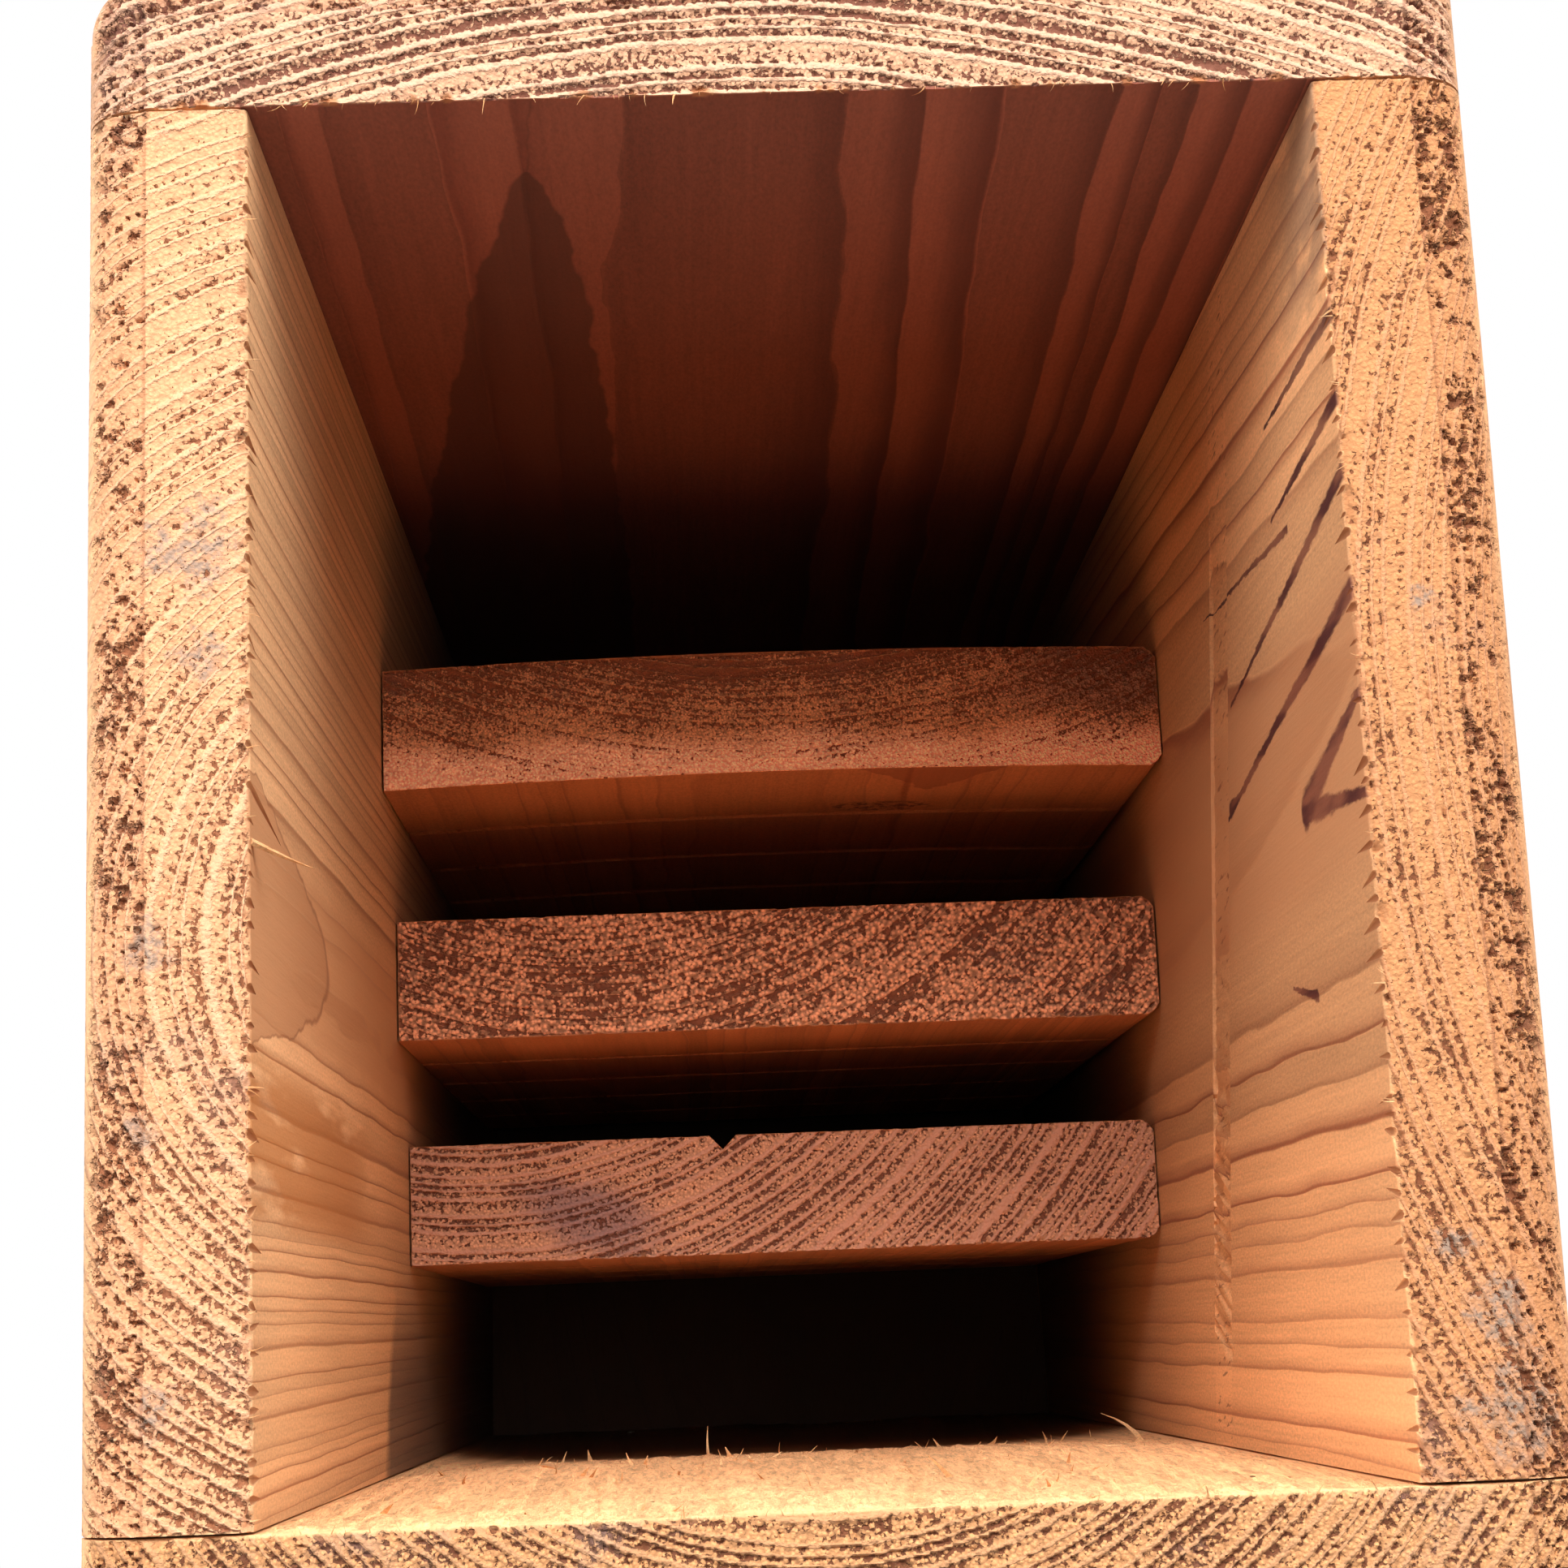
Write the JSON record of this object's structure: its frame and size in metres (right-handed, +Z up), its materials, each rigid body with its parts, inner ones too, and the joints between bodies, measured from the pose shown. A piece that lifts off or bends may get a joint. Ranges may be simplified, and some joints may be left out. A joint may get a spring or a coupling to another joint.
{
  "type": "bat house",
  "caption": "Small wall-hung bat house of cedar boards: open lower end, roosting chambers between kerfed partitions, sloped roof and a back board with a mounting tab.",
  "frame": {"origin": "centre of the whole object's box at the level of the open lower end", "axes": "+Z up along the boards' grain, +Y out of the back board towards the wall it hangs on, +X to the right for someone facing the front"},
  "size_m": [0.235, 0.2694, 0.54],
  "materials": {
    "back_board": "red-brown cedar heartwood, planed, unfinished",
    "front_board": "rough-sawn cedar with raised fibres, unfinished",
    "side_boards": "planed cedar with dark resin streaks, sawn end grain, lightly weathered",
    "partitions": "planed cedar with sawn end grain and saw kerfs",
    "roof_board": "planed cedar, lightly weathered",
    "screws": "dull zinc-plated steel, countersunk"
  },
  "bodies": {
    "root": {"back_board": "back_board", "front_board": "front_board", "left_side": "side_boards", "right_side": "side_boards", "partition_back": "partitions", "partition_middle": "partitions", "partition_front": "partitions", "roof_board": "roof_board", "screw_front_left_1": "screws", "screw_front_left_2": "screws", "screw_front_left_3": "screws", "screw_back_left_1": "screws", "screw_back_left_2": "screws", "screw_back_left_3": "screws", "screw_partition_back_left_low": "screws", "screw_partition_back_left_high": "screws", "screw_partition_middle_left_low": "screws", "screw_partition_middle_left_high": "screws", "screw_partition_front_left_low": "screws", "screw_partition_front_left_high": "screws", "screw_front_right_1": "screws", "screw_front_right_2": "screws", "screw_front_right_3": "screws", "screw_back_right_1": "screws", "screw_back_right_2": "screws", "screw_back_right_3": "screws", "screw_partition_back_right_low": "screws", "screw_partition_back_right_high": "screws", "screw_partition_middle_right_low": "screws", "screw_partition_middle_right_high": "screws", "screw_partition_front_right_low": "screws", "screw_partition_front_right_high": "screws", "screw_roof_left_back": "screws", "screw_roof_right_back": "screws", "screw_roof_left_front": "screws", "screw_roof_right_front": "screws", "screw_roof_front_left": "screws", "screw_roof_front_right": "screws"}
  },
  "joints": []
}
